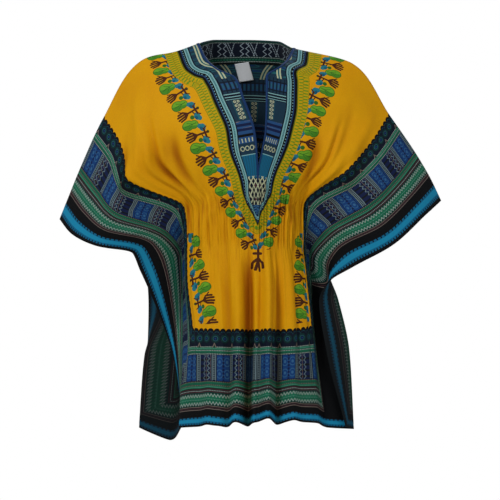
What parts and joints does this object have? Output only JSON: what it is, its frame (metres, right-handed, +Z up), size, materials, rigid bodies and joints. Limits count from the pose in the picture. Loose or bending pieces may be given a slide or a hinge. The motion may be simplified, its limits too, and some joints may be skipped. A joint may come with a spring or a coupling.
{
  "type": "dashiki shirt",
  "caption": "Dashiki top of the butterfly cut, with wing sleeves, shirred waist, slit neck and open side vents, filled out as worn.",
  "frame": {"origin": "midway between the two shoulder seams at the neck, where the wearer's shoulders carry the garment", "axes": "+X to the viewer's right when the front is seen, +Y from the front to the back, +Z up"},
  "size_m": [0.7443, 0.2684, 0.7883],
  "materials": {
    "printed_cotton": "matt printed cotton",
    "facing_print": "matt printed cotton",
    "blue_binding": "matt bias tape",
    "woven_tag": "smooth woven tape"
  },
  "bodies": {
    "root": {"front": "printed_cotton", "back": "printed_cotton", "back_neck_facing": "facing_print", "neck_binding": "blue_binding", "neck_label": "woven_tag"}
  },
  "joints": []
}
